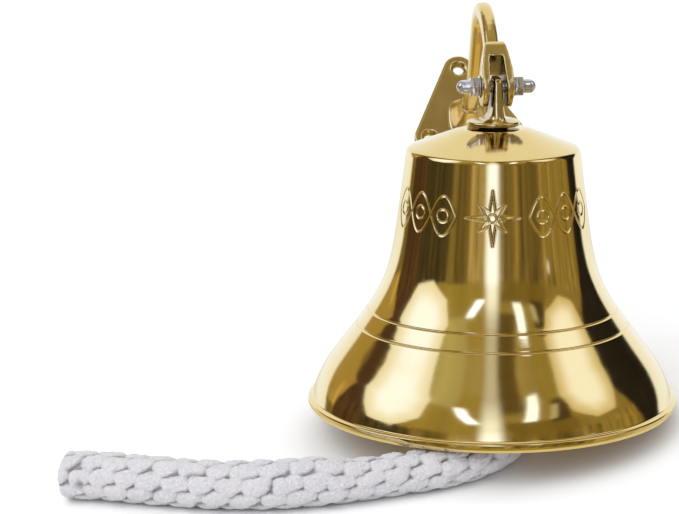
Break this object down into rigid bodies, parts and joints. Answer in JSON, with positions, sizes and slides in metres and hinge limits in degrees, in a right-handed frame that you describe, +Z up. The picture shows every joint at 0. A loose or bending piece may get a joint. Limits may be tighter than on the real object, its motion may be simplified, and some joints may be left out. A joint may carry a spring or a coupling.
{
  "type": "ship bell",
  "caption": "Polished brass ship bell with an engraved waist line, a hinged wall bracket, a hanging clapper and a thick woven bell rope that runs out under the rim.",
  "frame": {"origin": "centre of the bell's footprint on the table with the bell rope left out, at table height", "axes": "+Z up, +Y from the bell towards the wall bracket's plate, +X along the clevis bolt as seen from above; the bell stands on its mouth and leans 6.6 degrees because the rope props up one side of the rim"},
  "size_m": [0.3411, 0.2704, 0.2217],
  "materials": {
    "polished_brass": "mirror polished",
    "yoke_brass": "cast and polished",
    "bracket_brass": "cast and polished",
    "clapper_brass": "satin",
    "plated_steel": "bright plated",
    "gasket_fibre": "matte",
    "rope_cotton": "woven cotton"
  },
  "bodies": {
    "bell": {"bell_shell": "polished_brass", "crown_yoke": "yoke_brass", "crown_gasket": "gasket_fibre", "crown_washer": "plated_steel", "crown_nut": "plated_steel", "clapper_staple": "clapper_brass", "clapper_pin": "plated_steel", "clapper_pin_ring": "plated_steel", "bell_rope": "rope_cotton", "rope_becket": "rope_cotton"},
    "bracket": {"wall_bracket": "bracket_brass", "clevis_bolt": "plated_steel", "bolt_washer_left": "plated_steel", "bolt_washer_right": "plated_steel", "cap_nut_left": "plated_steel", "cap_nut_right": "plated_steel"},
    "clapper": {"clapper_rod": "clapper_brass", "clapper_ball": "clapper_brass", "clapper_tail": "clapper_brass", "rope_ring": "plated_steel"}
  },
  "joints": [
    {"name": "bracket_hinge", "type": "hinge", "parent": "bell", "child": "bracket", "pos_m": [0.01358, -0.01669, 0.18654], "axis": [0.9975, -0.0032, -0.0705], "range_deg": [-14, 100]},
    {"name": "clapper_hinge", "type": "hinge", "parent": "bell", "child": "clapper", "pos_m": [0.00877, -0.02106, 0.13856], "axis": [-0.788, 0.6157, 0], "range_deg": [-24, 37], "deforming": ["bell_rope", "rope_becket"]}
  ]
}
